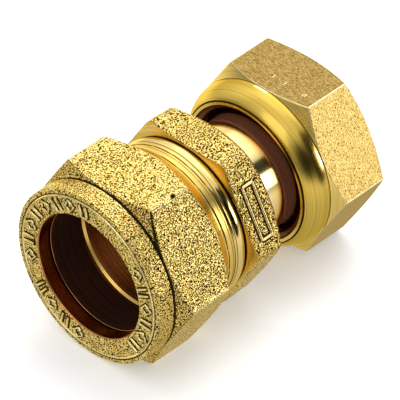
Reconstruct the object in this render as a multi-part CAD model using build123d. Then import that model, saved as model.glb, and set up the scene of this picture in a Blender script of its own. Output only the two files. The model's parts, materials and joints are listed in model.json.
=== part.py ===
from build123d import *
from math import radians, sqrt, tan
import os

# Straight pipe connector: a compression joint for plain pipe at one end and a loose union nut at the
# other. Millimetres. X runs along the fitting, from the pipe mouth to the open union end, and the nuts
# have flats on top and below. Stations below are counted from the pipe mouth. The finished pieces are
# moved together so that the origin is on the axis where the pipe's end stops.

# Pipe and compression thread
pipe_radius = 11.0
thread_wall = 3.0  # from the pipe to the crest of the compression thread
thread_play = 0.05
socket_play = 0.1
olive_play = 0.08
land_play = 0.2
mouth_break = 0.2  # broken edge of the nut's mouth

# Compression nut
land_length = 2.4
collar_length = 3.3
collar_wall = 4.7  # from the pipe to the front edge of the round collar
collar_edge = 0.8  # rounding of that edge
collar_step = 0.15  # collar below the flats at the seam
seam = 0.3  # width of the notch between collar and hexagon
nut_wall = 2.0  # from the thread crest to the flats
nut_corner = 0.5
nut_rear_angle = 36.0
chamber_length = 2.3
nut_length = 16.9
rim_wall = 0.6  # wall left at the rear end of the taper
taper_length = 2.0
thread_entry = 0.25

# Olive
olive_length = 7.2
olive_end = 0.45  # thickness at the olive's ends
olive_thick = 1.4
olive_taper = 1.9
olive_gap = 0.05  # play between the olive's ends and the two cones

# Body
seat_depth = 1.8  # depth of the 45 degree seat for the olive
end_break = 0.6
socket_depth = 11.5
stop_break = 0.3
bare_thread = 2.2  # thread left showing behind the nut
relief_width = 0.6
relief_depth = 0.95
bead_width = 2.2
bead_rise = 0.2
groove_width = 0.4
groove_depth = 0.35
hex_wall = 0.5  # from the thread crest to the flats
hex_length = 7.6
hex_front_angle = 14.0
hex_rear_angle = 50.0
hex_corner = 0.5
hex_turn = 1.2  # degrees, as the nuts are left after tightening
water_step = 2.4  # from the pipe to the waterway
neck_wall = 1.5  # from the waterway to the outside of the neck
neck_length = 6.9
flare_length = 3.0
flare_rise = 1.2
flange_thick = 2.0
flange_break = 0.2

# Union nut
union_step = 2.22  # from the pipe to the major radius of the union thread
union_thread_depth = 1.16
union_slack = 0.65  # free travel of the nut's shoulder before it meets the flange
union_wall = 1.78  # from the thread's major radius to the flats
union_corner = 0.2
union_length = 15.45
union_end_step = 0.3
flange_play = 0.11
lip_land = 1.6  # plain wall of the nut's hole
lip_overlap = 0.5  # flange hidden behind the nut's shoulder
lip_chamfer = 0.9
lip_rim = 0.5  # flat ring left on the nut's front
dome_length = 4.35
undercut_play = 0.1

# Sealing washer
washer_thick = 2.0
washer_play = 0.16
washer_bore_play = 0.4
washer_margin = 0.3

# Chamfer of the hexagons' ends, measured from the end face
nut_chamfer = 30.0

# Radii that follow from the sizes above
thread_radius = pipe_radius + thread_wall
land_radius = pipe_radius + land_play
olive_bore = pipe_radius + olive_play
socket_radius = pipe_radius + socket_play
water_radius = pipe_radius - water_step
neck_radius = water_radius + neck_wall
olive_crest = olive_bore + olive_thick
olive_rim = olive_bore + olive_end
chamber_radius = olive_crest + land_play
nut_bore = thread_radius + thread_play
nut_flat = thread_radius + nut_wall
hex_flat = thread_radius + hex_wall
union_major_radius = pipe_radius + union_step
union_minor_radius = union_major_radius - union_thread_depth
union_flat = union_major_radius + union_wall
undercut_radius = union_major_radius + undercut_play
flange_radius = union_minor_radius - flange_play
lip_radius = flange_radius - lip_overlap
washer_radius = union_minor_radius - washer_play

# Stations along X that follow from the sizes above, counted from the pipe mouth
chamber_start = land_length + chamber_radius - land_radius
thread_start = chamber_start + chamber_length
olive_start = land_length + olive_rim - land_radius + olive_gap
olive_stop = olive_start + olive_length
socket_start = olive_stop + olive_rim - socket_radius + olive_gap
body_start = socket_start - seat_depth
stop_start = socket_start + socket_depth
bead_start = nut_length + bare_thread
bead_stop = bead_start + bead_width
hex_start = bead_stop + groove_width
hex_stop = hex_start + hex_length
flare_start = hex_stop + neck_length
flange_start = flare_start + flare_length
flange_stop = flange_start + flange_thick
washer_stop = flange_stop + washer_thick
undercut_stop = washer_stop + washer_margin
shoulder = flange_start - union_slack
lip_start = shoulder - lip_land - lip_chamfer
union_stop = lip_start + union_length
slope = tan(radians(nut_chamfer))


def turned(*edges):
    """Solid of revolution about X from a closed chain of edges drawn in x and radius."""
    return revolve(make_face(Curve() + list(edges)), axis=Axis.X)


def ring(*points):
    """Turned solid with straight sides through the given corners."""
    return turned(Polyline(*points, close=True))


def hexagon(flat, start, stop, corner):
    """Hexagonal bar along X with flats on top and below and rounded corners."""
    outline = fillet(RegularPolygon(flat, 6, major_radius=False).vertices(), corner)
    return Pos(X=start) * extrude(Plane.YZ * outline, stop - start)


def corner_radius(flat):
    return flat * 2 / sqrt(3)


def make_compression_nut():
    far = corner_radius(nut_flat)
    collar_front = pipe_radius + collar_wall
    collar_back = nut_flat - collar_step
    hex_front = collar_length + seam
    front_rise = (far - collar_back) * slope
    rear_rise = (far - nut_flat) * tan(radians(nut_rear_angle))
    rim = nut_bore + rim_wall
    taper_start = nut_length - taper_length
    outside = ring(
        (0, 0),
        (0, collar_front),
        (collar_length, collar_back),
        (collar_length + seam / 2, collar_back - seam),
        (hex_front, collar_back),
        (hex_front + front_rise, far),
        (taper_start - rear_rise, far),
        (taper_start, nut_flat),
        (nut_length, rim),
        (nut_length, 0),
    )
    blank = hexagon(nut_flat, 0, nut_length, nut_corner) & outside
    front = blank.edges().filter_by(GeomType.CIRCLE).sort_by(Axis.X)[0]
    blank = fillet(front, collar_edge)
    inside = ring(
        (0, 0),
        (0, land_radius + mouth_break),
        (mouth_break, land_radius),
        (land_length, land_radius),
        (chamber_start, chamber_radius),
        (thread_start, chamber_radius),
        (thread_start, nut_bore),
        (nut_length - thread_entry, nut_bore),
        (nut_length, nut_bore + thread_entry),
        (nut_length, 0),
    )
    return blank - inside


def make_olive():
    return ring(
        (olive_start, olive_bore),
        (olive_start, olive_rim),
        (olive_start + olive_taper, olive_crest),
        (olive_stop - olive_taper, olive_crest),
        (olive_stop, olive_rim),
        (olive_stop, olive_bore),
    )


def make_body():
    relief = thread_radius - relief_depth
    groove = thread_radius - groove_depth
    front = ring(
        (body_start, 0),
        (body_start, thread_radius - end_break),
        (body_start + end_break, thread_radius),
        (bead_start - relief_width, thread_radius),
        (bead_start - relief_width, relief),
        (bead_start, relief),
        (bead_start, groove),
        (hex_start, groove),
        (hex_start, 0),
    )
    bead = turned(
        Line((bead_start, 0), (bead_start, thread_radius)),
        ThreePointArc(
            (bead_start, thread_radius),
            (bead_start + bead_width / 2, thread_radius + bead_rise),
            (bead_stop, thread_radius),
        ),
        Line((bead_stop, thread_radius), (bead_stop, 0)),
        Line((bead_stop, 0), (bead_start, 0)),
    )
    far = corner_radius(hex_flat)
    front_rise = (far - thread_radius) * tan(radians(hex_front_angle))
    rear_rise = (far - hex_flat) * tan(radians(hex_rear_angle))
    cones = ring(
        (hex_start, 0),
        (hex_start, thread_radius),
        (hex_start + front_rise, far),
        (hex_stop - rear_rise, far),
        (hex_stop, hex_flat),
        (hex_stop, 0),
    )
    middle = Rot(X=hex_turn) * hexagon(hex_flat, hex_start, hex_stop, hex_corner) & cones
    flare_radius = neck_radius + flare_rise
    neck = turned(
        Line((hex_start, 0), (hex_start, neck_radius)),
        Line((hex_start, neck_radius), (flare_start, neck_radius)),
        TangentArc(
            (flare_start, neck_radius),
            (flange_start, flare_radius),
            tangent=(1, 0),
        ),
        Line((flange_start, flare_radius), (flange_start, 0)),
        Line((flange_start, 0), (hex_start, 0)),
    )
    flange = ring(
        (flange_start, 0),
        (flange_start, flange_radius - flange_break),
        (flange_start + flange_break, flange_radius),
        (flange_stop - flange_break, flange_radius),
        (flange_stop, flange_radius - flange_break),
        (flange_stop, 0),
    )
    passage = ring(
        (body_start, 0),
        (body_start, socket_radius + seat_depth),
        (socket_start, socket_radius),
        (stop_start, socket_radius),
        (stop_start, water_radius + stop_break),
        (stop_start + stop_break, water_radius),
        (flange_stop - stop_break, water_radius),
        (flange_stop, water_radius + stop_break),
        (flange_stop, 0),
    )
    return front + bead + middle + neck + flange - passage


def make_union_nut():
    far = corner_radius(union_flat)
    rise = (far - union_flat) * slope
    hole_mouth = lip_radius + lip_chamfer
    dome_stop = lip_start + dome_length
    end_rise = union_end_step * slope
    outside = turned(
        Line((lip_start, 0), (lip_start, hole_mouth + lip_rim)),
        TangentArc(
            (dome_stop, union_flat),
            (lip_start, hole_mouth + lip_rim),
            tangent=(-1, 0),
        ),
        Polyline(
            (dome_stop, union_flat),
            (dome_stop + rise, far),
            (union_stop - end_rise - rise, far),
            (union_stop, union_flat - union_end_step),
            (union_stop, 0),
            (lip_start, 0),
        ),
    )
    entry = undercut_radius - union_minor_radius
    inside = ring(
        (lip_start, 0),
        (lip_start, hole_mouth),
        (lip_start + lip_chamfer, lip_radius),
        (shoulder, lip_radius),
        (shoulder, undercut_radius),
        (undercut_stop, undercut_radius),
        (undercut_stop, union_minor_radius),
        (union_stop - entry, union_minor_radius),
        (union_stop, undercut_radius),
        (union_stop, 0),
    )
    return hexagon(union_flat, lip_start, union_stop, union_corner) & outside - inside


def make_sealing_washer():
    bore = water_radius + washer_bore_play
    return ring(
        (flange_stop, bore),
        (flange_stop, washer_radius),
        (washer_stop, washer_radius),
        (washer_stop, bore),
    )


pieces = {
    "compression_nut": make_compression_nut(),
    "olive": make_olive(),
    "body": make_body(),
    "union_nut": make_union_nut(),
    "sealing_washer": make_sealing_washer(),
}
os.makedirs("parts", exist_ok=True)
for name, piece in pieces.items():
    export_step(Pos(X=-stop_start) * piece, f"parts/{name}.step")
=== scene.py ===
import json
import math

import bpy
import numpy as np
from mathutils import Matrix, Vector


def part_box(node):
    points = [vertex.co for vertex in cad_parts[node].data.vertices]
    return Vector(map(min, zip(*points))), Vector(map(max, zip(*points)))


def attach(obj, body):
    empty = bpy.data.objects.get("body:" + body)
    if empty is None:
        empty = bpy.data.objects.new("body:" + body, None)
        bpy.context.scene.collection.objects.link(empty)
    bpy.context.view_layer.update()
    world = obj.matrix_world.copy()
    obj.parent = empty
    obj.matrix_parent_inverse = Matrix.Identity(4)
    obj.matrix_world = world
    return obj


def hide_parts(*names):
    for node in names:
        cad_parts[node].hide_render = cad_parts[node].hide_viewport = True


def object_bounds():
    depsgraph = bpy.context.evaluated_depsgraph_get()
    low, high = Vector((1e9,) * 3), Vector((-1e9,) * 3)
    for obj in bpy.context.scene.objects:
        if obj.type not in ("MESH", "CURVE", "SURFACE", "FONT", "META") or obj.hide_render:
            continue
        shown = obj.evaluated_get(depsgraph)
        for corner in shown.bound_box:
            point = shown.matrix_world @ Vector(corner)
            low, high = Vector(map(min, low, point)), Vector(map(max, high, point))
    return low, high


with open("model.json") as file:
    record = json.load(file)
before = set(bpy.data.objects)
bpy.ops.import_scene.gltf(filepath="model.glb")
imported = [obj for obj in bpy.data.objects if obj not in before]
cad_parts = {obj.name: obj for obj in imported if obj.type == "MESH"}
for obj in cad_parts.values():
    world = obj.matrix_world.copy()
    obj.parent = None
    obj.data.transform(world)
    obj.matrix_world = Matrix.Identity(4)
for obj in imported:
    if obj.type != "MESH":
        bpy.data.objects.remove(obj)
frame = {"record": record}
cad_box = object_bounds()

# Sizes are in millimetres and are turned into metres when a mesh is made. X is the fitting's axis, and
# an angle round it starts at -Y and rises over the top.
MM = 0.001
SECTOR_STEPS = 48       # angles in each sixth of a turn
CROWDING = 0.85         # how much closer the angles stand at a hexagon's corners
ARC_STEPS = 5           # rows in a rounded edge
LINE_SIDES = 8          # points round a raised line
EDGE = 0.05             # rounding of small edges
FINE = 0.1              # spacing of rows where a hexagon or a thread is cut
CORNER_REACH = 0.45     # most of a side that a rounded corner may take
STRAIGHT = 0.02         # bend, in radians, below which a corner is left as it is
HAIR = 0.001            # slack when rows are picked by their place

# Threads. A flank rises between two shares of half a turn.
MOUNTS = {mount["name"]: mount["dims"] for mount in frame["record"]["mounts"]}
SOCKET_RADIUS = MOUNTS["pipe_socket"]["r_mm"]
UNION_MINOR = MOUNTS["union_thread"]["r_mm"]
UNION_MAJOR = UNION_MINOR + 1.16
UNION_PITCH = 1.814
UNION_FLANK = (0.15, 0.85)
THREAD_PITCH = 1.5
THREAD_PHASE = 0.4      # in turns
THREAD_CREST = 14.0
THREAD_ROOT = 13.08
THREAD_FLANK = (0.2, 0.93)
NUT_THREAD_CREST = 13.28
NUT_THREAD_ROOT = 14.08
NUT_FLANK = (0.12, 0.72)

# Compression nut, measured from its mouth
COLLAR_LENGTH = 3.3
COLLAR_FRONT = 15.7
COLLAR_EDGE = 0.8
COLLAR_STEP = 0.15
SEAM = 0.3
SEAM_DEPTH = 0.21
SEAM_EDGE = 0.1         # how far the seam's painted shade runs onto the front chamfers
NUT_FRONT_ANGLE = math.radians(30)
NUT_REAR_ANGLE = math.radians(36)
NUT_CORNER = 0.5
NUT_SOFTNESS = 0.3      # of the edges between flats and chamfers
TAPER_LENGTH = 2.0
RIM_RADIUS = 14.65
RIM_BREAK = (0.25, 0.17)        # length and height of the rim's edge, painted bright as a highlight
THREAD_MOUTH = (0.9, 0.2)       # length of the thread's mouth, and its height above the root
MOUTH_BREAK = 0.2
LAND_RADIUS = 11.2
LAND_LENGTH = 2.4
CHAMBER_RADIUS = 12.68
CHAMBER_STOP = 6.18
FACE_LINE = 14.6        # radius of the raised line near the edge of the front face
FACE_LINE_WIDTH = 0.36
FACE_LINE_RISE = 0.18
FACE_LINE_SHADOW = 0.2    # width of the ring outside that line, painted dark as its shadow
CORNER_WEAR_HIGHLIGHT = 0.16      # how far from the corners the metal is worn bright and painted bright as an edge highlight
CHAMFER_SHADE = 0.45           # height of the painted shade line along each front chamfer
SHADE_ANGLE = math.radians(45)      # side of the nut where the painted shade on the front chamfers is heaviest
SHADE_FALL = 3          # how fast that painted shade fades away from that side
PIT = (10.0, math.radians(60))      # station and angle of a small pit on a corner
PIT_SIZE = 0.45
PIT_SHADE = 0.36         # radius of its middle, painted dark as shade
PIT_DEPTH = 0.35

# Plain bars and lozenges on the nut's front face, with angles in degrees
MARK_RADII = (11.9, 14.2)
MARK_GROUPS = ((93, 4), (150, 4), (218, 4), (322, 6))       # first angle and count
MARK_STEP = 14.0
LOZENGE_HALF = 4.3
LOZENGE_INSET = 0.1
BAR_OFFSET = 2.7
BAR_SLANT = 2
MARK_LINE = (0.46, 0.34)        # width and rise
# dark wider line under each mark, painted as its shade: width and rise
MARK_SHADE_LINE = (1.02, 0.08)

# Olive
OLIVE_BORE = SOCKET_RADIUS - 0.02
OLIVE_RIM = SOCKET_RADIUS + 0.43
OLIVE_TAPER = 1.9
OLIVE_MOUTH = 0.6       # length of the bevel at the rear of the bore

# Body, from the pipe stop
END_BREAK = 0.6
SEAT_DEPTH = 1.8
STOP_BREAK = 0.3
RUNOUT = (-5.9, -5.1)   # where the thread grows shallow
RUNOUT_DEPTH = 0.12
RUNOUT_FLANK = (0.2, 0.5)
RUNOUT_SHARE = 0.9      # share from which a row belongs to the shallow thread
RUNOUT_SHADE = (0.024, 0.102)    # depths between which the shallow thread is painted dark as shade
ROOT_SHADE = 0.2         # height of the full thread's root that is painted dark as shade
THREAD_END = (-2.75, -2.5)      # where the shallow thread fades out
THREAD_ROWS = (0.14, 0.07)      # spacing of rows on the full and on the shallow thread
FRONT_RING = (-2.62, -2.14)     # narrow ring in front of the bead
FRONT_RING_RISE = 0.07
FRONT_RING_GROOVE = (0.04, 0.08)
BEAD = (-2.05, -0.62)
BEAD_CREST = (-1.1, 14.15)
BEAD_FALL = (0.18, 0.5)     # how fast the bead falls away to the front and to the rear
BEAD_STEPS = 8          # rows on each side of the crest
GROOVE_RADIUS = 13.65
HEX = (-0.26, 6.55)
HEX_FLAT = 14.5
HEX_TURN = math.radians(-1.2)
HEX_FRONT_ANGLE = math.radians(11)
HEX_REAR_ANGLE = math.radians(30)
HEX_CORNER = 1.8
HEX_SOFTNESS = (0.7, 1.2)       # of the front and the rear edges
HEX_CUT = 13.9          # radius above which rows are cut to the hexagon
NECK_RADIUS = 10.1
NECK_SHADED = 12.7     # where the polished neck turns to painted brown shade towards the nut
NECK_DARK_SHADE = 15.1        # where the painted brown shade turns to darker painted shade inside the nut's lip
FLARE_START = 14.24
FLARE_STOP = 17.24
FLARE_RISE = 1.2
FLANGE_RADIUS = 11.95
FLANGE_BREAK = 0.2
WATER_RADIUS = 8.6

# Plain frame on the hexagon's flat that faces forward
FRAME_SHIFT = (-0.1, -0.9)      # from the flat's middle, along the axis and up the flat
FRAME_HALF_LONG = 4.7
FRAME_HALF_WIDE = 1.15
FRAME_LINE = (0.56, 0.32)       # width and rise
# dark wider line under the frame, painted as its shade: width and rise
FRAME_SHADE_LINE = (1.06, 0.08)

# Union nut
LIP_CHAMFER = 0.9
LIP_LAND = 1.6
LIP_RADIUS = 11.45
LIP_RIM = 0.5
LIP_STEP = (0.22, 0.06)     # length and height of the step outside the rim, painted dark as shade
LIP_SHADE = 0.3          # how far the painted dark shade runs down the lip's chamfer
DOME_LENGTH = 4.35
DOME_STEPS = 16
DOME_BLEND = 0.8        # length of the dome's end that is rounded and worn with the flats
DOME_DROP = 0.004       # from the flats to the dome's last row
DOME_GROOVE = 0.16      # width of the fine groove where the dome meets the flats, painted dark as shade
UNION_FRONT_ANGLE = math.radians(30)
UNION_END_ANGLE = math.radians(24)
UNION_END_STEP = 0.3
UNION_CORNER = 0.2
UNION_SOFTNESS = 0.12
UNDERCUT_RADIUS = 13.32
UNDERCUT_STOP = 21.54
EDGE_WEAR_HIGHLIGHT = 0.09        # how far from the flats' edges the metal is burnished and painted bright as an edge highlight
NICKS = ((21.8, 1.0), (21.6, -1.6), (21.5, -5.7), (21.7, -6.1))     # places on the top flat
NICK_HALF = 0.45
NICK_LINE = (0.2, 0.04)     # width and rise

# Sealing washer
WASHER_BORE = WATER_RADIUS + 0.4
WASHER_EDGE = 0.15


def box_mm(node):
    lo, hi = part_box(node)
    return Vector(lo) / MM, Vector(hi) / MM


def corner_distance(flat):
    return flat * 2 / math.sqrt(3)


def angles_round(turn=0.0):
    """Angles of a full turn, crowded where a hexagon has its corners."""
    share = np.arange(6 * SECTOR_STEPS) / SECTOR_STEPS
    return (share - CROWDING * np.sin(2 * np.pi * share) / (2 * np.pi)) * np.pi / 3 + turn


def arc_from(start, stop, count=10):
    """Points of the arc that leaves start along X and ends at stop."""
    run, rise = stop[0] - start[0], stop[1] - start[1]
    radius = (run * run + rise * rise) / (2 * rise)
    turns = np.linspace(0, math.asin(run / radius), count)
    return [(start[0] + radius * math.sin(a), start[1] + radius * (1 - math.cos(a))) for a in turns]


def corner(x, r, rounding, spacing=2.0, skin=0):
    """Corner of an outline. Spacing of the rows and skin are those of the side that follows it."""
    return np.array([x, r]), rounding, spacing, skin


def rounded(here, before, after, rounding):
    """Points of an outline's corner, rounded as far as its two sides have room."""
    before, after = before - here, after - here
    room = min(np.linalg.norm(before), np.linalg.norm(after)) * CORNER_REACH
    before = before / np.linalg.norm(before)
    after = after / np.linalg.norm(after)
    opening = math.acos(float(np.clip(before @ after, -1, 1)))
    if rounding == 0 or opening > math.pi - STRAIGHT:
        return [here]
    reach = min(rounding / math.tan(opening / 2), room)
    share = np.linspace(0, 1, ARC_STEPS)[:, None]
    inward, outward = here + before * reach, here + after * reach
    return list((1 - share) ** 2 * inward + 2 * share * (1 - share) * here + share**2 * outward)


def rows_of(corners):
    """x, radius and skin of every row of a closed outline with rounded corners."""
    count = len(corners)
    places = [place for place, _, _, _ in corners]
    arcs = [
        rounded(place, places[i - 1], places[(i + 1) % count], rounding)
        for i, (place, rounding, _, _) in enumerate(corners)
    ]
    points, skins = [], []
    for i, (_, _, spacing, skin) in enumerate(corners):
        points += arcs[i]
        start, stop = arcs[i][-1], arcs[(i + 1) % count][0]
        steps = max(1, math.ceil(np.linalg.norm(stop - start) / spacing))
        points += [start + (stop - start) * k / steps for k in range(1, steps)]
        skins += [skin] * (len(arcs[i]) + steps - 1)
    points = np.array(points)
    return points[:, 0], points[:, 1], np.array(skins)


def grid(corners, turn=0.0):
    """Rows and angles of a turned piece, with the radius and the skin wherever they cross."""
    x, r, skin = rows_of(corners)
    angles = angles_round(turn)
    radius, skins = (np.repeat(values[:, None], len(angles), axis=1) for values in (r, skin))
    return x, r, skin, angles, radius, skins


def hexagon(angles, flat, rounding, turn=0.0):
    """Distance from the axis to a hexagon with rounded corners, for each angle."""
    off = np.abs(np.mod(angles - turn, np.pi / 3) - np.pi / 6)
    reach = corner_distance(flat - rounding)
    left = np.pi / 6 - off
    arc = reach * np.cos(left) + np.sqrt(np.maximum(rounding**2 - (reach * np.sin(left)) ** 2, 0))
    edge = math.atan((flat - rounding) * math.tan(math.pi / 6) / flat)
    return np.where(off < edge, flat / np.cos(off), arc)


def soft_min(a, b, width):
    """The smaller of two radii, with the edge between them rounded over the given width."""
    near = np.maximum(width - np.abs(a - b), 0) / width
    return np.minimum(a, b) - near * near * width / 4


def screw(x, angles, pitch, radii, flank, phase=0.0):
    """Radius of a right-hand thread: the first radius between the turns, the second at their crests."""
    inner, outer = radii
    start, full = flank
    turns = x[:, None] / pitch + angles[None, :] / (2 * np.pi) + phase
    wave = np.abs(np.mod(turns, 1) - 0.5) * 2
    rise = np.clip((wave - start) / (full - start), 0, 1)
    return inner + (outer - inner) * (rise + rise * rise * (3 - 2 * rise)) / 2


def distance_on(x, angles, radius, at_x, at_angle):
    """How far each point of a turned surface lies from one place on it."""
    return np.hypot(x[:, None] - at_x, (angles[None, :] - at_angle) * radius)


def turned_mesh(name, node, x, radius, angles, skins, materials):
    """Closed mesh of rows against angles, on its node's body and in its node's place."""
    rows, turns = radius.shape
    across = np.broadcast_to(x[:, None], radius.shape)
    sides = [across, -radius * np.cos(angles), radius * np.sin(angles)]
    points = np.stack(sides, axis=-1).reshape(-1, 3)
    i, j = np.meshgrid(np.arange(rows), np.arange(turns), indexing="ij")
    here, ahead = i * turns, (i + 1) % rows * turns
    next_j = (j + 1) % turns
    quads = np.stack([here + j, here + next_j, ahead + next_j, ahead + j], axis=-1).reshape(-1, 4)
    return mesh_piece(name, node, points, quads, skins.reshape(-1), materials, replace=True)


def mesh_piece(name, node, points, quads, skins, materials, replace=False):
    """Object from points in millimetres and quads, with normals weighted by area."""
    a, b, c, d = (points[quads[:, k]] for k in range(4))
    normals = np.cross(c - a, d - b)
    if np.einsum("ij,ij->i", normals, (a + b + c + d) / 4).sum() < 0:
        quads, normals = quads[:, ::-1], -normals
    at_point = np.zeros_like(points)
    for k in range(4):
        np.add.at(at_point, quads[:, k], normals)
    at_point /= np.maximum(np.linalg.norm(at_point, axis=1, keepdims=True), 1e-12)
    mesh = bpy.data.meshes.new(name)
    mesh.from_pydata((points * MM).tolist(), [], quads.tolist())
    mesh.polygons.foreach_set("material_index", np.asarray(skins, dtype=np.int32))
    mesh.polygons.foreach_set("use_smooth", np.ones(len(quads), dtype=bool))
    for material in materials:
        mesh.materials.append(material)
    mesh.normals_split_custom_set_from_vertices(at_point.tolist())
    mesh.update()
    piece = bpy.data.objects.new(name, mesh)
    bpy.context.scene.collection.objects.link(piece)
    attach(piece, node)
    if replace:
        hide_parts(node)
    return piece


# Materials

EDGE_TINT = (1.0, 0.84, 0.45, 1)    # colour of the brass where it is seen at a low angle
WHITE = (1, 1, 1, 1)
GRAIN_GLINT = (1.0, 0.83, 0.35)     # colour of the grain's highest points, painted as glints
GRAIN_STEPS = (0.03, 0.11, 0.25)    # from the dark grains to the middle, the light and the painted glint


def add(tree, kind, inputs=None, **settings):
    """Node with its settings made and its inputs set or linked."""
    made = tree.nodes.new(kind)
    for key, value in settings.items():
        setattr(made, key, value)
    for key, value in (inputs or {}).items():
        if isinstance(value, bpy.types.NodeSocket):
            tree.links.new(value, made.inputs[key])
        else:
            made.inputs[key].default_value = value
    return made


def start_material(name, roughness, metallic=1.0, edge_tint=EDGE_TINT):
    """Material with its tree, its shader and the point in millimetres."""
    material = bpy.data.materials.new(name)
    material.use_nodes = True
    tree = material.node_tree
    shader = tree.nodes["Principled BSDF"]
    shader.inputs["Metallic"].default_value = metallic
    shader.inputs["Roughness"].default_value = roughness
    shader.inputs["Specular Tint"].default_value = edge_tint
    place = add(tree, "ShaderNodeTexCoord").outputs["Object"]
    point = add(tree, "ShaderNodeVectorMath", {0: place, "Scale": 1 / MM}, operation="SCALE").outputs[0]
    return material, tree, shader, point


def ramp(tree, factor, *stops):
    """Colour ramp through (position, colour) stops."""
    made = add(tree, "ShaderNodeValToRGB", {"Fac": factor})
    marks = made.color_ramp.elements
    while len(marks) < len(stops):
        marks.new(0.5)
    for mark, (position, colour) in zip(marks, stops):
        mark.position = position
        mark.color = (*colour, 1)
    return made.outputs["Color"]


def bump(tree, height, depth):
    """Bump normal from a height of 0 to 1, depth in millimetres."""
    inputs = {"Height": height, "Distance": depth * MM, "Strength": 1.0}
    return add(tree, "ShaderNodeBump", inputs).outputs["Normal"]


def noise(tree, point, scale, detail=2.0, roughness=0.5, stretch=(1, 1, 1)):
    scaled = add(tree, "ShaderNodeVectorMath", {0: point, 1: stretch}, operation="MULTIPLY").outputs[0]
    inputs = {"Vector": scaled, "Scale": scale, "Detail": detail, "Roughness": roughness}
    return add(tree, "ShaderNodeTexNoise", inputs).outputs["Fac"]


def lathe_point(tree, point):
    """The point as x and radius only, so that what it drives runs round the axis."""
    parts = add(tree, "ShaderNodeSeparateXYZ", {0: point})
    side = add(tree, "ShaderNodeCombineXYZ", {"X": parts.outputs["Y"], "Y": parts.outputs["Z"]})
    radius = add(tree, "ShaderNodeVectorMath", {0: side.outputs[0]}, operation="LENGTH").outputs["Value"]
    return add(tree, "ShaderNodeCombineXYZ", {"X": parts.outputs["X"], "Y": radius}).outputs[0]


def blasted(name, dark, middle, light, grain, depth, share):
    """Forged and blasted brass with coarse grain, its highest grains painted as glints. Below the given
    share of its height it is dark.
    """
    material, tree, shader, point = start_material(name, roughness=0.26)
    speckle = noise(tree, point, grain, detail=0.5, roughness=0.5)
    stops = [(share + step, tone) for step, tone in zip(GRAIN_STEPS, (middle, light, GRAIN_GLINT))]
    colour = ramp(tree, speckle, (share, dark), *stops)
    tree.links.new(colour, shader.inputs["Base Color"])
    tree.links.new(bump(tree, speckle, depth), shader.inputs["Normal"])
    return material


def turned(name, dark, light, roughness, depth=0.006, lines=5.0, metallic=1.0):
    """Brass cut on a lathe, with fine lines that run round the axis."""
    material, tree, shader, point = start_material(name, roughness, metallic)
    rings = noise(tree, lathe_point(tree, point), lines, detail=4, roughness=0.7)
    colour = ramp(tree, rings, (0.32, dark), (0.62, light))
    tree.links.new(colour, shader.inputs["Base Color"])
    tree.links.new(bump(tree, rings, depth), shader.inputs["Normal"])
    return material


def shade_along_axis(name, stops, roughness):
    """Polished brass whose colour changes along the axis through (x in millimetres, colour) stops, which
    paint shade and reflection on it.
    """
    material, tree, shader, point = start_material(name, roughness)
    along = add(tree, "ShaderNodeSeparateXYZ", {0: point}).outputs["X"]
    first, last = stops[0][0], stops[-1][0]
    share = add(tree, "ShaderNodeMapRange", {0: along, 1: first, 2: last}).outputs[0]
    colour = ramp(tree, share, *[((x - first) / (last - first), c) for x, c in stops])
    tree.links.new(colour, shader.inputs["Base Color"])
    return material


def drawn(name, pit, dark, light, pits):
    """Flats of drawn bar: a fine grain that runs round the bar, and small pits."""
    material, tree, shader, point = start_material(name, roughness=0.32)
    grain = noise(tree, point, 4.5, detail=2, roughness=0.6, stretch=(1.2, 0.45, 0.6))
    dots = add(tree, "ShaderNodeTexVoronoi", {"Vector": point, "Scale": pits}).outputs["Distance"]
    wide = add(tree, "ShaderNodeMath", {0: dots, 1: 2.0}, operation="MULTIPLY").outputs[0]
    worn_highlit = add(tree, "ShaderNodeMath", {0: grain, 1: wide}, operation="MINIMUM").outputs[0]
    colour = ramp(tree, worn_highlit, (0.16, pit), (0.38, dark), (0.60, light))
    tree.links.new(colour, shader.inputs["Base Color"])
    tree.links.new(bump(tree, worn_highlit, 0.06), shader.inputs["Normal"])
    return material


def rubber():
    material, tree, shader, point = start_material("rubber", roughness=0.7, metallic=0.0, edge_tint=WHITE)
    shader.inputs["Base Color"].default_value = (0.018, 0.017, 0.016, 1)
    tree.links.new(bump(tree, noise(tree, point, 3.0), 0.02), shader.inputs["Normal"])
    return material


BLASTED_NUT = blasted(
    "blasted nut", (0.012, 0.006, 0.001), (0.86, 0.50, 0.07), (1.0, 0.75, 0.22),
    grain=4.9, depth=0.13, share=0.435,
)
# Darker copy of the blasted nut, painted shade on the front chamfers.
SHADED_CHAMFER_NUT = blasted(
    "blasted chamfer", (0.012, 0.006, 0.001), (0.60, 0.35, 0.045), (0.98, 0.69, 0.17),
    grain=4.9, depth=0.17, share=0.45,
)
# Blasted brass worn bright at the corners, and painted brighter as an edge highlight.
WORN_HIGHLIT_NUT = blasted(
    "worn corners", (0.22, 0.13, 0.02), (0.86, 0.60, 0.16), (1.0, 0.83, 0.36),
    grain=4.9, depth=0.10, share=0.40,
)
BLASTED_HEX = blasted(
    "blasted hexagon", (0.008, 0.005, 0.001), (0.82, 0.47, 0.065), (1.0, 0.74, 0.22),
    grain=4.2, depth=0.19, share=0.445,
)
# Lighter blasted brass, painted as the highlight on raised lines.
RAISED_HIGHLIGHT = blasted(
    "raised marks", (0.50, 0.32, 0.07), (0.90, 0.68, 0.22), (1.0, 0.86, 0.42),
    grain=5.2, depth=0.03, share=0.34,
)
GOLD = turned("turned gold", (0.66, 0.42, 0.07), (0.94, 0.70, 0.20), 0.2)
ORANGE = turned("turned orange", (0.55, 0.31, 0.05), (0.86, 0.55, 0.12), 0.24)
CHAMFER = turned("turned chamfer", (0.60, 0.37, 0.07), (0.88, 0.60, 0.16), 0.22)
# Painted lighter and paler than the other turned brass, as painted light on the nut's taper.
LIGHTENED_TAPER = turned("nut taper", (0.86, 0.64, 0.22), (0.98, 0.80, 0.36), 0.2)
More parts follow.
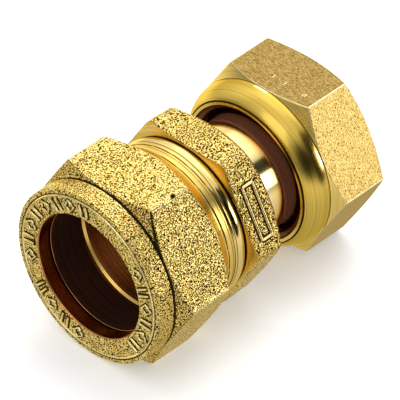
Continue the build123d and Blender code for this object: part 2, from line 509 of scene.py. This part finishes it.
# The rim's edge painted bright as a highlight.
RIM_HIGHLIGHT = turned("nut rim", (0.92, 0.80, 0.48), (1.0, 0.92, 0.64), 0.14, depth=0.002)
THREAD = turned("cut thread", (0.66, 0.42, 0.08), (0.96, 0.70, 0.20), 0.3)
# The neck is painted pale near the hexagon and brown towards the union nut, as painted reflection of the
# nut's dark inside and painted shade.
POLISHED = shade_along_axis(
    "polished neck",
    [
        (9.0, (0.93, 0.78, 0.41)),
        (11.2, (0.88, 0.65, 0.24)),
        (12.3, (0.64, 0.35, 0.12)),
        (13.0, (0.40, 0.17, 0.08)),
    ],
    0.13,
)
BEAD_BRASS = turned("bead brass", (0.70, 0.50, 0.14), (0.96, 0.76, 0.31), 0.1, depth=0.004)
# Dark brown painted shade on surfaces hidden inside the nuts and the body.
DARK_BROWN_SHADE = turned("browned brass", (0.13, 0.045, 0.018), (0.27, 0.10, 0.045), 0.24)
# Brown painted shade on the neck's flare and the union nut's lip, standing in for the nut's dark inside
# mirrored there and for shade.
BROWN_SHADE = turned("tarnished brass", (0.17, 0.06, 0.03), (0.46, 0.19, 0.10), 0.26, metallic=0.55)
COPPER = turned("copper brown", (0.14, 0.045, 0.014), (0.72, 0.31, 0.10), 0.22, depth=0.02, lines=7.0)
SOCKET = turned(
    "socket bore", (0.30, 0.10, 0.02), (1.0, 0.52, 0.16), 0.2, depth=0.05, lines=7.0, metallic=0.9
)
SATIN = turned("satin dome", (0.50, 0.32, 0.035), (0.84, 0.59, 0.12), 0.2, depth=0.012)
FLATS = drawn("drawn flats", (0.20, 0.09, 0.02), (0.45, 0.29, 0.07), (0.66, 0.48, 0.17), pits=1.7)
# Darker copy of the drawn flats, painted shade on the level flats.
SHADED_FLATS = drawn("dull flats", (0.05, 0.026, 0.007), (0.24, 0.15, 0.04), (0.48, 0.33, 0.11), pits=2.2)
# Near black painted shade on the olive's bore inside the nut.
SHADED_OLIVE = turned("olive brass", (0.035, 0.018, 0.012), (0.12, 0.05, 0.035), 0.3, metallic=0.6)
# Near black painted shade for seams, grooves, thread roots, outlines and hollows.
BLACK_SHADE = turned("dark seam", (0.012, 0.008, 0.002), (0.05, 0.035, 0.01), 0.45)
# Burnished brass for the nicks and the flats' edges, painted brighter as an edge highlight.
BURNISHED_HIGHLIGHT = turned("burnished edge", (0.80, 0.64, 0.30), (0.96, 0.84, 0.52), 0.3)
RUBBER = rubber()


# Pieces


def make_compression_nut():
    lo, hi = box_mm("compression_nut")
    mouth, rear, flat = lo.x, hi.x, hi.z
    far = corner_distance(flat)
    collar_back = flat - COLLAR_STEP
    seam_front = mouth + COLLAR_LENGTH
    hex_front = seam_front + SEAM
    front_rise = (far - collar_back) * math.tan(NUT_FRONT_ANGLE)
    taper = rear - TAPER_LENGTH
    rear_rise = (far - flat) * math.tan(NUT_REAR_ANGLE)
    line = FACE_LINE_WIDTH / 2
    chamber_start = mouth + LAND_LENGTH + CHAMBER_RADIUS - LAND_RADIUS
    chamber_stop = mouth + CHAMBER_STOP
    outer_skin, turned_skin, inner_skin, chamfer_skin, black_shade_skin = range(5)
    land_skin, line_skin, rim_skin, worn_highlit_skin = range(5, 9)
    corners = [
        corner(mouth, LAND_RADIUS + MOUTH_BREAK, EDGE, 0.5, outer_skin),
        corner(mouth, FACE_LINE - line, EDGE, 1, line_skin),
        corner(mouth - FACE_LINE_RISE, FACE_LINE, EDGE, 1, line_skin),
        corner(mouth, FACE_LINE + line, EDGE, 1, black_shade_skin),
        corner(mouth, FACE_LINE + line + FACE_LINE_SHADOW, EDGE, 1, outer_skin),
        corner(mouth, COLLAR_FRONT, COLLAR_EDGE, 0.4, outer_skin),
        # The seam is painted near black as shade.
        corner(seam_front, collar_back, 0.08, 1, black_shade_skin),
        corner(seam_front + SEAM / 2, collar_back - SEAM_DEPTH, EDGE, 1, black_shade_skin),
        corner(hex_front, collar_back, 0.08, FINE, chamfer_skin),
        corner(hex_front + front_rise, far, 0.1, 0.2, outer_skin),
        corner(taper - rear_rise, far, 0.1, FINE, turned_skin),
        corner(taper, flat, 0.1, 0.15, turned_skin),
        corner(rear - RIM_BREAK[0], RIM_RADIUS + RIM_BREAK[1], 0, 1, rim_skin),
        corner(rear, RIM_RADIUS, 0.12, 1, rim_skin),
        # The inner thread is painted dark brown as shade inside the nut.
        corner(rear, NUT_THREAD_ROOT + THREAD_MOUTH[1], EDGE, FINE, inner_skin),
        corner(rear - THREAD_MOUTH[0], NUT_THREAD_CREST, 0, FINE, inner_skin),
        # The chamber inside the nut is painted near black as shade.
        corner(chamber_stop, NUT_THREAD_CREST, EDGE, 0.5, black_shade_skin),
        corner(chamber_stop, CHAMBER_RADIUS, EDGE, 1, black_shade_skin),
        corner(chamber_start, CHAMBER_RADIUS, EDGE, 1, black_shade_skin),
        corner(mouth + LAND_LENGTH, LAND_RADIUS, EDGE, 0.5, land_skin),
        corner(mouth + MOUTH_BREAK, LAND_RADIUS, EDGE, 1, land_skin),
    ]
    x, r, skin, angles, radius, skins = grid(corners)

    outside = (r > RIM_RADIUS) & (x > seam_front)
    hexed = np.broadcast_to(hexagon(angles, flat, NUT_CORNER), radius.shape)
    # Corners worn bright, also painted as an edge highlight.
    worn_highlit = (hexed < radius) & (hexed > hexed.max() - CORNER_WEAR_HIGHLIGHT)
    flats = np.where(worn_highlit, worn_highlit_skin, outer_skin)
    skins[outside] = np.where(hexed < radius, flats, skins)[outside]
    # Painted shade: the front chamfers are painted dark along their rising edge and next to the seam,
    # heaviest on one side of the nut.
    rising = np.mod(angles, np.pi / 3) > np.pi / 6
    shade_weight = np.clip(np.cos(angles - SHADE_ANGLE), 0, 1)[None, :] ** SHADE_FALL
    chamfer_shade = (hexed < radius + CHAMFER_SHADE * shade_weight) & rising
    chamfer_shade |= x[:, None] < hex_front + SEAM_EDGE * shade_weight
    skins[(skins == chamfer_skin) & chamfer_shade] = black_shade_skin
    radius[outside] = soft_min(radius, hexed, NUT_SOFTNESS)[outside]

    away = distance_on(x, angles, radius, mouth + PIT[0], PIT[1])
    # The pit's middle is painted near black as shade.
    skins[outside] = np.where((away < PIT_SHADE)[outside], black_shade_skin, skins[outside])
    radius[outside] -= (PIT_DEPTH * np.clip(1 - (away / PIT_SIZE) ** 2, 0, 1))[outside]

    inside = skin == inner_skin
    radii = (NUT_THREAD_CREST, NUT_THREAD_ROOT)
    thread = screw(x, angles, THREAD_PITCH, radii, NUT_FLANK, THREAD_PHASE)
    radius[inside] = np.maximum(radius, thread)[inside]
    materials = [BLASTED_NUT, LIGHTENED_TAPER, DARK_BROWN_SHADE, SHADED_CHAMFER_NUT, BLACK_SHADE, COPPER, RAISED_HIGHLIGHT, RIM_HIGHLIGHT, WORN_HIGHLIT_NUT]
    turned_mesh("forged_nut", "compression_nut", x, radius, angles, skins, materials)


def plain_piece(name, node, corners, materials):
    """Piece that is round all over."""
    x, _, _, angles, radius, skins = grid(corners)
    turned_mesh(name, node, x, radius, angles, skins, materials)


def make_olive():
    lo, hi = box_mm("olive")
    edge_skin, bore_skin = 0, 1
    corners = [
        corner(lo.x, OLIVE_BORE, 0.12, skin=edge_skin),
        corner(lo.x, OLIVE_RIM, 0.08, skin=edge_skin),
        corner(lo.x + OLIVE_TAPER, hi.z, 0.2, skin=edge_skin),
        corner(hi.x - OLIVE_TAPER, hi.z, 0.2, skin=edge_skin),
        corner(hi.x, OLIVE_RIM, 0.08, skin=edge_skin),
        corner(hi.x, OLIVE_BORE + OLIVE_MOUTH / 2, 0.03, skin=edge_skin),
        corner(hi.x - OLIVE_MOUTH, OLIVE_BORE, 0.1, skin=bore_skin),
    ]
    # The olive's bore is painted near black as shade.
    plain_piece("olive_ring", "olive", corners, [COPPER, SHADED_OLIVE])


def make_sealing_washer():
    lo, hi = box_mm("sealing_washer")
    corners = [
        corner(lo.x, WASHER_BORE, WASHER_EDGE),
        corner(lo.x, hi.z, WASHER_EDGE),
        corner(hi.x, hi.z, WASHER_EDGE),
        corner(hi.x, WASHER_BORE, WASHER_EDGE),
    ]
    plain_piece("rubber_washer", "sealing_washer", corners, [RUBBER])


def bead_points():
    """Points along the bead, which falls away faster to the rear than to the front."""
    top, crest = BEAD_CREST
    front = np.linspace(BEAD[0], top, BEAD_STEPS)
    rear = np.linspace(top, BEAD[1], BEAD_STEPS)[1:]
    return [(x, crest - BEAD_FALL[int(x > top)] * (x - top) ** 2) for x in (*front, *rear)]


def body_thread(x, angles):
    """Radius of the body's thread, and the share by which each row belongs to its shallow end."""
    deep = screw(x, angles, THREAD_PITCH, (THREAD_ROOT, THREAD_CREST), THREAD_FLANK, THREAD_PHASE)
    radii = (THREAD_CREST - RUNOUT_DEPTH, THREAD_CREST)
    shallow = screw(x, angles, THREAD_PITCH, radii, RUNOUT_FLANK, THREAD_PHASE)
    left = np.interp(x, THREAD_END, (1, 0))[:, None]
    shallow = THREAD_CREST - (THREAD_CREST - shallow) * left
    share = np.interp(x, RUNOUT, (0, 1))[:, None]
    return deep + (shallow - deep) * share, share


def make_body():
    lo, hi = box_mm("body")
    end, last = lo.x, hi.x
    far = corner_distance(HEX_FLAT)
    front_rise = (far - THREAD_CREST) * math.tan(HEX_FRONT_ANGLE)
    rear_rise = (far - HEX_FLAT) * math.tan(HEX_REAR_ANGLE)
    bead = bead_points()
    ring_middle = sum(FRONT_RING) / 2
    ring_groove, ring_depth = FRONT_RING_GROOVE
    flare = arc_from((FLARE_START, NECK_RADIUS), (FLARE_STOP, NECK_RADIUS + FLARE_RISE))
    hex_skin, polished_skin, chamfer_skin, dark_brown_shade_skin, thread_skin = range(5)
    black_shade_skin, bead_skin, socket_skin, brown_shade_skin = range(5, 9)
    corners = [
        corner(end, THREAD_CREST - END_BREAK, EDGE, FINE, thread_skin),
        corner(end + END_BREAK, THREAD_CREST, 0, THREAD_ROWS[0], thread_skin),
        corner(RUNOUT[1], THREAD_CREST, 0, THREAD_ROWS[1], thread_skin),
        corner(FRONT_RING[0], THREAD_CREST, 0, 0.3, bead_skin),
        corner(ring_middle, THREAD_CREST + FRONT_RING_RISE, 0.3, 0.3, bead_skin),
        corner(FRONT_RING[1], THREAD_CREST, 0, 0.3, bead_skin),
        # The grooves beside the front ring and behind the bead are painted near black as shade.
        corner(FRONT_RING[1] + ring_groove, THREAD_CREST - ring_depth, 0, 0.3, black_shade_skin),
    ]
    corners += [corner(x, r, 0, 1, bead_skin) for x, r in bead[:-1]]
    corners += [
        corner(*bead[-1], 0, 0.3, black_shade_skin),
        corner(BEAD[1], GROOVE_RADIUS, EDGE, 1, black_shade_skin),
        corner(HEX[0], GROOVE_RADIUS, EDGE, 1, chamfer_skin),
        corner(HEX[0], THREAD_CREST, EDGE, FINE, chamfer_skin),
        corner(HEX[0] + front_rise, far, 0.1, 0.3, hex_skin),
        corner(HEX[1] - rear_rise, far, 0.1, FINE, hex_skin),
        corner(HEX[1], HEX_FLAT, 0.1, 1, hex_skin),
        corner(HEX[1], NECK_RADIUS, 0.2, 1, polished_skin),
        # From here the neck and its flare carry painted brown shade, and dark painted shade further
        # inside the nut.
        corner(NECK_SHADED, NECK_RADIUS, 0, 1, brown_shade_skin),
    ]
    corners += [corner(x, r, 0, 1, brown_shade_skin if x < NECK_DARK_SHADE else dark_brown_shade_skin) for x, r in flare]
    corners += [
        corner(FLARE_STOP, FLANGE_RADIUS - FLANGE_BREAK, 0.04, 1, dark_brown_shade_skin),
        corner(FLARE_STOP + FLANGE_BREAK, FLANGE_RADIUS, 0.04, 1, dark_brown_shade_skin),
        corner(last - FLANGE_BREAK, FLANGE_RADIUS, 0.04, 1, dark_brown_shade_skin),
        corner(last, FLANGE_RADIUS - FLANGE_BREAK, 0.04, 1, dark_brown_shade_skin),
        corner(last, WATER_RADIUS + STOP_BREAK, EDGE, 1, dark_brown_shade_skin),
        corner(last - STOP_BREAK, WATER_RADIUS, EDGE, 3, dark_brown_shade_skin),
        corner(STOP_BREAK, WATER_RADIUS, EDGE, 1, dark_brown_shade_skin),
        corner(0, WATER_RADIUS + STOP_BREAK, EDGE, 1, dark_brown_shade_skin),
        corner(0, SOCKET_RADIUS, EDGE, 1, socket_skin),
        corner(end + SEAT_DEPTH, SOCKET_RADIUS, 0.08, 0.5, chamfer_skin),
        corner(end, SOCKET_RADIUS + SEAT_DEPTH, EDGE, 1, chamfer_skin),
    ]
    x, r, skin, angles, radius, skins = grid(corners, HEX_TURN)

    middle_rows = (r > HEX_CUT) & (x >= HEX[0] - HAIR) & (x <= HEX[1] + HAIR)
    hexed = np.broadcast_to(hexagon(angles, HEX_FLAT, HEX_CORNER, HEX_TURN), radius.shape)
    skins[middle_rows] = np.where((hexed < radius)[middle_rows], hex_skin, skins[middle_rows])
    softness = np.where(x < sum(HEX) / 2, *HEX_SOFTNESS)[:, None]
    radius[middle_rows] = soft_min(radius, hexed, softness)[middle_rows]

    threaded = (skin == thread_skin) & (r > THREAD_ROOT)
    thread, share = body_thread(x, angles)
    radius[threaded] = np.minimum(radius, thread)[threaded]
    # The shallow thread's flanks and the full thread's roots are painted near black as shade.
    depth = THREAD_CREST - radius
    flank = (depth > RUNOUT_SHADE[0]) & (depth < RUNOUT_SHADE[1]) & (share > RUNOUT_SHARE)
    root = depth > THREAD_CREST - THREAD_ROOT - ROOT_SHADE
    skins[threaded] = np.where((flank | root)[threaded], black_shade_skin, skins[threaded])
    materials = [BLASTED_HEX, POLISHED, CHAMFER, DARK_BROWN_SHADE, THREAD, BLACK_SHADE, BEAD_BRASS, SOCKET, BROWN_SHADE]
    turned_mesh("turned_body", "body", x, radius, angles, skins, materials)


def make_union_nut():
    lo, hi = box_mm("union_nut")
    lip, stop, flat = lo.x, hi.x, hi.z
    far = corner_distance(flat)
    mouth = LIP_RADIUS + LIP_CHAMFER
    rim = mouth + LIP_RIM
    dome_stop = lip + DOME_LENGTH
    rise = (far - flat) * math.tan(UNION_FRONT_ANGLE)
    end_rise = (far - flat + UNION_END_STEP) * math.tan(UNION_END_ANGLE)
    shoulder = lip + LIP_CHAMFER + LIP_LAND
    dome = arc_from((-dome_stop, flat), (-lip, rim), DOME_STEPS)
    entry = UNDERCUT_RADIUS - UNION_MINOR
    dome_skin, flat_skin, corner_skin, inner_skin, edge_skin = range(5)
    black_shade_skin, rim_skin, land_skin, shaded_flat_skin = range(5, 9)
    corners = [
        corner(lip, rim, 0.03, 1, black_shade_skin),
        corner(lip + LIP_STEP[0], rim + LIP_STEP[1], 0.03, 1, black_shade_skin),
    ]
    corners += [corner(-x, r, 0, 1, dome_skin) for x, r in reversed(dome[1:-1])]
    corners += [
        corner(dome_stop - DOME_GROOVE, flat - DOME_DROP, 0, 1, black_shade_skin),
        corner(dome_stop - DOME_GROOVE / 2, flat - DOME_GROOVE / 2, 0, 1, black_shade_skin),
        corner(dome_stop, flat, 0, FINE, corner_skin),
        corner(dome_stop + rise, far, EDGE, 0.4, flat_skin),
        corner(stop - end_rise, far, EDGE, FINE, corner_skin),
        corner(stop, flat - UNION_END_STEP, 0.06, 1, corner_skin),
        corner(stop, UNDERCUT_RADIUS, EDGE, FINE, inner_skin),
        corner(stop - entry, UNION_MINOR, 0, FINE, inner_skin),
        corner(UNDERCUT_STOP, UNION_MINOR, 0, 0.3, inner_skin),
        corner(UNDERCUT_STOP, UNDERCUT_RADIUS, EDGE, 1, inner_skin),
        corner(shoulder, UNDERCUT_RADIUS, EDGE, 1, inner_skin),
        corner(shoulder, LIP_RADIUS, EDGE, 1, land_skin),
        corner(lip + LIP_CHAMFER, LIP_RADIUS, EDGE, 1, land_skin),
        corner(lip + LIP_SHADE, mouth - LIP_SHADE, 0, 1, black_shade_skin),
        corner(lip, mouth, EDGE, 1, rim_skin),
    ]
    x, r, skin, angles, radius, skins = grid(corners)

    outside = (r > UNDERCUT_RADIUS) & (x > dome_stop - DOME_BLEND)
    hexed = np.broadcast_to(hexagon(angles, flat, UNION_CORNER), radius.shape)
    # The level flats, top and bottom, take a darker copy of the flats as painted shade.
    level = np.abs(np.sin(angles)) > math.sin(math.pi / 3)
    flats = np.where(level, shaded_flat_skin, flat_skin)[None, :]
    skins[outside] = np.where(hexed < radius, flats, skins)[outside]
    # Edges of the flats burnished and painted bright as an edge highlight.
    worn_highlit = (np.abs(hexed - radius) < EDGE_WEAR_HIGHLIGHT) | (hexed > far - EDGE_WEAR_HIGHLIGHT) & (hexed < radius)
    skins[outside] = np.where(worn_highlit[outside], edge_skin, skins[outside])
    # Rows painted near black as shade stay so after the flats are cut.
    skins[skin == black_shade_skin] = black_shade_skin
    radius[outside] = soft_min(radius, hexed, UNION_SOFTNESS)[outside]

    inside = (skin == inner_skin) & (x > UNDERCUT_STOP - HAIR)
    thread = screw(x, angles, UNION_PITCH, (UNION_MINOR, UNION_MAJOR), UNION_FLANK)
    radius[inside] = np.maximum(radius, thread)[inside]
    materials = [SATIN, FLATS, GOLD, ORANGE, BURNISHED_HIGHLIGHT, BLACK_SHADE, GOLD, BROWN_SHADE, SHADED_FLATS]
    turned_mesh("loose_nut", "union_nut", x, radius, angles, skins, materials)


# Raised marks


def end_caps(first):
    """Three quads that close the ring of points that starts at the given number."""
    return [[first + k for k in cap] for cap in ((0, 1, 2, 3), (0, 3, 4, 7), (4, 5, 6, 7))]


def stroke(points, normal, width, rise, closed=False):
    """Points and quads of a raised line with a rounded back, lying on a face with the given normal."""
    points = np.array(points, dtype=float)
    count = len(points)
    normal = np.array(normal, dtype=float)
    along = np.roll(points, -1, 0) - np.roll(points, 1, 0)
    if not closed:
        along[0], along[-1] = points[1] - points[0], points[-1] - points[-2]
    along /= np.linalg.norm(along, axis=1, keepdims=True)
    side = np.cross(normal, along)
    turns = np.linspace(0, 2 * np.pi, LINE_SIDES, endpoint=False)
    rings = [points + side * math.cos(a) * width / 2 + normal * math.sin(a) * rise for a in turns]
    spans = count if closed else count - 1
    i, j = np.meshgrid(np.arange(spans), np.arange(LINE_SIDES), indexing="ij")
    here, ahead = i * LINE_SIDES, (i + 1) % count * LINE_SIDES
    next_j = (j + 1) % LINE_SIDES
    quads = np.stack([here + j, ahead + j, ahead + next_j, here + next_j], axis=-1).reshape(-1, 4)
    if not closed:
        front = [cap[::-1] for cap in end_caps(0)]
        rear = end_caps((count - 1) * LINE_SIDES)
        quads = np.concatenate([quads, np.array(front + rear)])
    return np.stack(rings, axis=1).reshape(-1, 3), quads


def join(strokes):
    """One set of points and quads from many."""
    points, quads, used = [], [], 0
    for some_points, some_quads in strokes:
        points.append(some_points)
        quads.append(some_quads + used)
        used += len(some_points)
    return np.concatenate(points), np.concatenate(quads)


def lines_piece(name, node, lines, normal, size, material):
    """One piece from raised lines, each given by its points and whether it is closed."""
    points, quads = join([stroke(points, normal, *size, closed) for points, closed in lines])
    mesh_piece(name, node, points, quads, np.zeros(len(quads)), [material])


def face_point(mouth, radius, degrees):
    angle = math.radians(degrees)
    return mouth, -radius * math.cos(angle), radius * math.sin(angle)


def lozenge(mouth, middle):
    inner, outer = MARK_RADII[0] + LOZENGE_INSET, MARK_RADII[1] - LOZENGE_INSET
    waist = sum(MARK_RADII) / 2
    points = ((inner, 0), (waist, LOZENGE_HALF), (outer, 0), (waist, -LOZENGE_HALF))
    return [face_point(mouth, r, middle + off) for r, off in points]


def bar(mouth, middle):
    inner, outer = MARK_RADII
    return [
        face_point(mouth, inner + (outer - inner) * s, middle + BAR_SLANT * (s - 0.5))
        for s in (0, 0.5, 1)
    ]


def make_face_marks():
    """Plain bars and lozenges where the nut's front face has its raised marks."""
    mouth = box_mm("compression_nut")[0].x
    lines = []
    for start, count in MARK_GROUPS:
        for k in range(count):
            middle = start + k * MARK_STEP
            if k % 2:
                lines.append((lozenge(mouth, middle), True))
            else:
                lines += [(bar(mouth, middle + off), False) for off in (-BAR_OFFSET, BAR_OFFSET)]
    normal = (-1, 0, 0)
    lines_piece("face_marks", "compression_nut", lines, normal, MARK_LINE, RAISED_HIGHLIGHT)
    # Wider near black lines under the marks, painted as their shade.
    lines_piece("mark_outlines", "compression_nut", lines, normal, MARK_SHADE_LINE, BLACK_SHADE)


def make_hex_frame():
    """Raised plain frame on the body hexagon's flat that faces forward."""
    turn = HEX_TURN + math.pi / 6
    normal = np.array([0, -math.cos(turn), math.sin(turn)])
    up = np.array([0, math.sin(turn), math.cos(turn)])
    along = np.array([1.0, 0, 0])
    middle = normal * HEX_FLAT + along * (sum(HEX) / 2 + FRAME_SHIFT[0]) + up * FRAME_SHIFT[1]
    long_half, wide_half = up * FRAME_HALF_LONG, along * FRAME_HALF_WIDE
    lines = []
    for side in (-1, 1):
        lines.append(([middle + wide_half * side + long_half * s for s in (-1, 0, 1)], False))
        lines.append(([middle + long_half * side + wide_half * s for s in (-1, 0, 1)], False))
    lines_piece("hexagon_frame", "body", lines, normal, FRAME_LINE, RAISED_HIGHLIGHT)
    # Wider near black lines under the frame, painted as its shade.
    lines_piece("frame_outline", "body", lines, normal, FRAME_SHADE_LINE, BLACK_SHADE)


def make_nicks():
    """Short burrs where the union nut's top flat has been knocked."""
    top = box_mm("union_nut")[1].z
    lines = [([(x + NICK_HALF * s, y, top) for s in (-1, 0, 1)], False) for x, y in NICKS]
    lines_piece("nut_nicks", "union_nut", lines, (0, 0, 1), NICK_LINE, BURNISHED_HIGHLIGHT)


# Stage. A place is an azimuth and an elevation in degrees, and distances are in metres.

CAMERA_TARGET = Vector((3.6675, 0, 0.546)) * MM
CAMERA_PLACE = (-46.088, 39.663)
CAMERA_DISTANCE = 1.01888
CAMERA_LENS = 570.84
FLOOR_HALF = 4.0
FLOOR_GREY = (0.93, 0.93, 0.93, 1)
FLOOR_GLOW = 0.3
STUDIO_GREYS = [
    (0.0, (0.60, 0.60, 0.60)),      # straight down
    (0.20, (0.72, 0.72, 0.72)),
    (0.40, (1.0, 1.0, 1.0)),
    (0.52, (0.30, 0.30, 0.30)),     # horizon
    (0.70, (0.50, 0.50, 0.50)),
    (0.97, (1.0, 1.0, 1.0)),        # straight up
]
# Dark places that the metal mirrors, with the cosines between which each fades in
DARK_PLACES = [
    ((-24, 20), (0.86, 0.985)),
    ((41, 35), (0.972, 0.987)),
    ((13, 3), (0.95, 0.978)),
    ((11, 20), (0.945, 0.978)),
    ((14, 38), (0.95, 0.978)),
]
DARK_LEVEL = 0.05
# Bright places, with the cosines between which each fades in, and its level
BRIGHT_PLACES = [
    ((155, 15), (0.45, 0.85), 0.45),
    ((105, 58), (0.80, 0.97), 0.75),
    ((128, 6), (0.88, 0.97), 0.5),
]


def direction(place):
    a, e = (math.radians(angle) for angle in place)
    return Vector((math.sin(a) * math.cos(e), -math.cos(a) * math.cos(e), math.sin(e)))


def aim(thing, place, distance):
    """Put a lamp or camera at a distance from the target and turn it to look there."""
    back = direction(place)
    thing.location = CAMERA_TARGET + back * distance
    thing.rotation_euler = back.to_track_quat("Z", "Y").to_euler()
    bpy.context.scene.collection.objects.link(thing)


def soft_box(name, place, distance, size, power, mirrored=True):
    """Square area light. The metal shows its outline only where it is mirrored."""
    light = bpy.data.lights.new(name, "AREA")
    light.shape = "SQUARE"
    light.size = size
    light.energy = power
    lamp = bpy.data.objects.new(name, light)
    lamp.visible_glossy = mirrored
    aim(lamp, place, distance)


def make_floor(height):
    mesh = bpy.data.meshes.new("floor")
    signs = [(-1, -1), (1, -1), (1, 1), (-1, 1)]
    points = [(FLOOR_HALF * x, FLOOR_HALF * y, height) for x, y in signs]
    mesh.from_pydata(points, [], [(0, 1, 2, 3)])
    material = bpy.data.materials.new("floor")
    material.use_nodes = True
    shader = material.node_tree.nodes["Principled BSDF"]
    shader.inputs["Base Color"].default_value = FLOOR_GREY
    shader.inputs["Emission Color"].default_value = WHITE
    shader.inputs["Emission Strength"].default_value = FLOOR_GLOW
    shader.inputs["Roughness"].default_value = 0.8
    shader.inputs["Specular IOR Level"].default_value = 0.1
    mesh.materials.append(material)
    floor = bpy.data.objects.new("floor", mesh)
    bpy.context.scene.collection.objects.link(floor)
    floor.visible_glossy = False


def make_camera():
    data = bpy.data.cameras.new("camera")
    data.sensor_width = 36.0
    data.lens = CAMERA_LENS
    data.clip_end = 20.0
    camera = bpy.data.objects.new("camera", data)
    aim(camera, CAMERA_PLACE, CAMERA_DISTANCE)
    bpy.context.scene.camera = camera


def towards(tree, view, place, edges, away, near):
    """Value that goes from away to near as a direction comes close to a place."""
    inputs = {0: view, 1: direction(place)}
    cosine = add(tree, "ShaderNodeVectorMath", inputs, operation="DOT_PRODUCT").outputs["Value"]
    inputs = {0: cosine, 1: edges[0], 2: edges[1], 3: away, 4: near}
    return add(tree, "ShaderNodeMapRange", inputs, interpolation_type="SMOOTHSTEP").outputs[0]


def make_world():
    """Pale studio round the part, with the bright and dark places that the metal mirrors."""
    world = bpy.data.worlds.new("studio")
    world.use_nodes = True
    tree = world.node_tree
    background = tree.nodes["Background"]
    view = add(tree, "ShaderNodeTexCoord").outputs["Generated"]
    height = add(tree, "ShaderNodeSeparateXYZ", {0: view}).outputs["Z"]
    share = add(tree, "ShaderNodeMapRange", {0: height, 1: -1.0, 2: 1.0}).outputs[0]
    colour = ramp(tree, share, *STUDIO_GREYS)
    for place, edges, level in BRIGHT_PLACES:
        glow = towards(tree, view, place, edges, 0.0, level)
        colour = add(tree, "ShaderNodeVectorMath", {0: colour, 1: glow}, operation="ADD").outputs[0]
    for place, edges in DARK_PLACES:
        inputs = {0: colour, "Scale": towards(tree, view, place, edges, 1.0, DARK_LEVEL)}
        colour = add(tree, "ShaderNodeVectorMath", inputs, operation="SCALE").outputs[0]
    tree.links.new(colour, background.inputs["Color"])
    bpy.context.scene.world = world


def make_stage():
    make_camera()
    make_floor(cad_box[0].z)
    make_world()
    soft_box("window", (35, 13), distance=0.6, size=0.24, power=0.70)
    soft_box("overhead", (105, 58), distance=0.7, size=0.6, power=1.5, mirrored=False)
    soft_box("front fill", (-80, 45), distance=0.9, size=0.6, power=0.8)
    bpy.context.scene.view_settings.view_transform = "Standard"


make_compression_nut()
make_olive()
make_body()
make_union_nut()
make_sealing_washer()
make_face_marks()
make_hex_frame()
make_nicks()
make_stage()
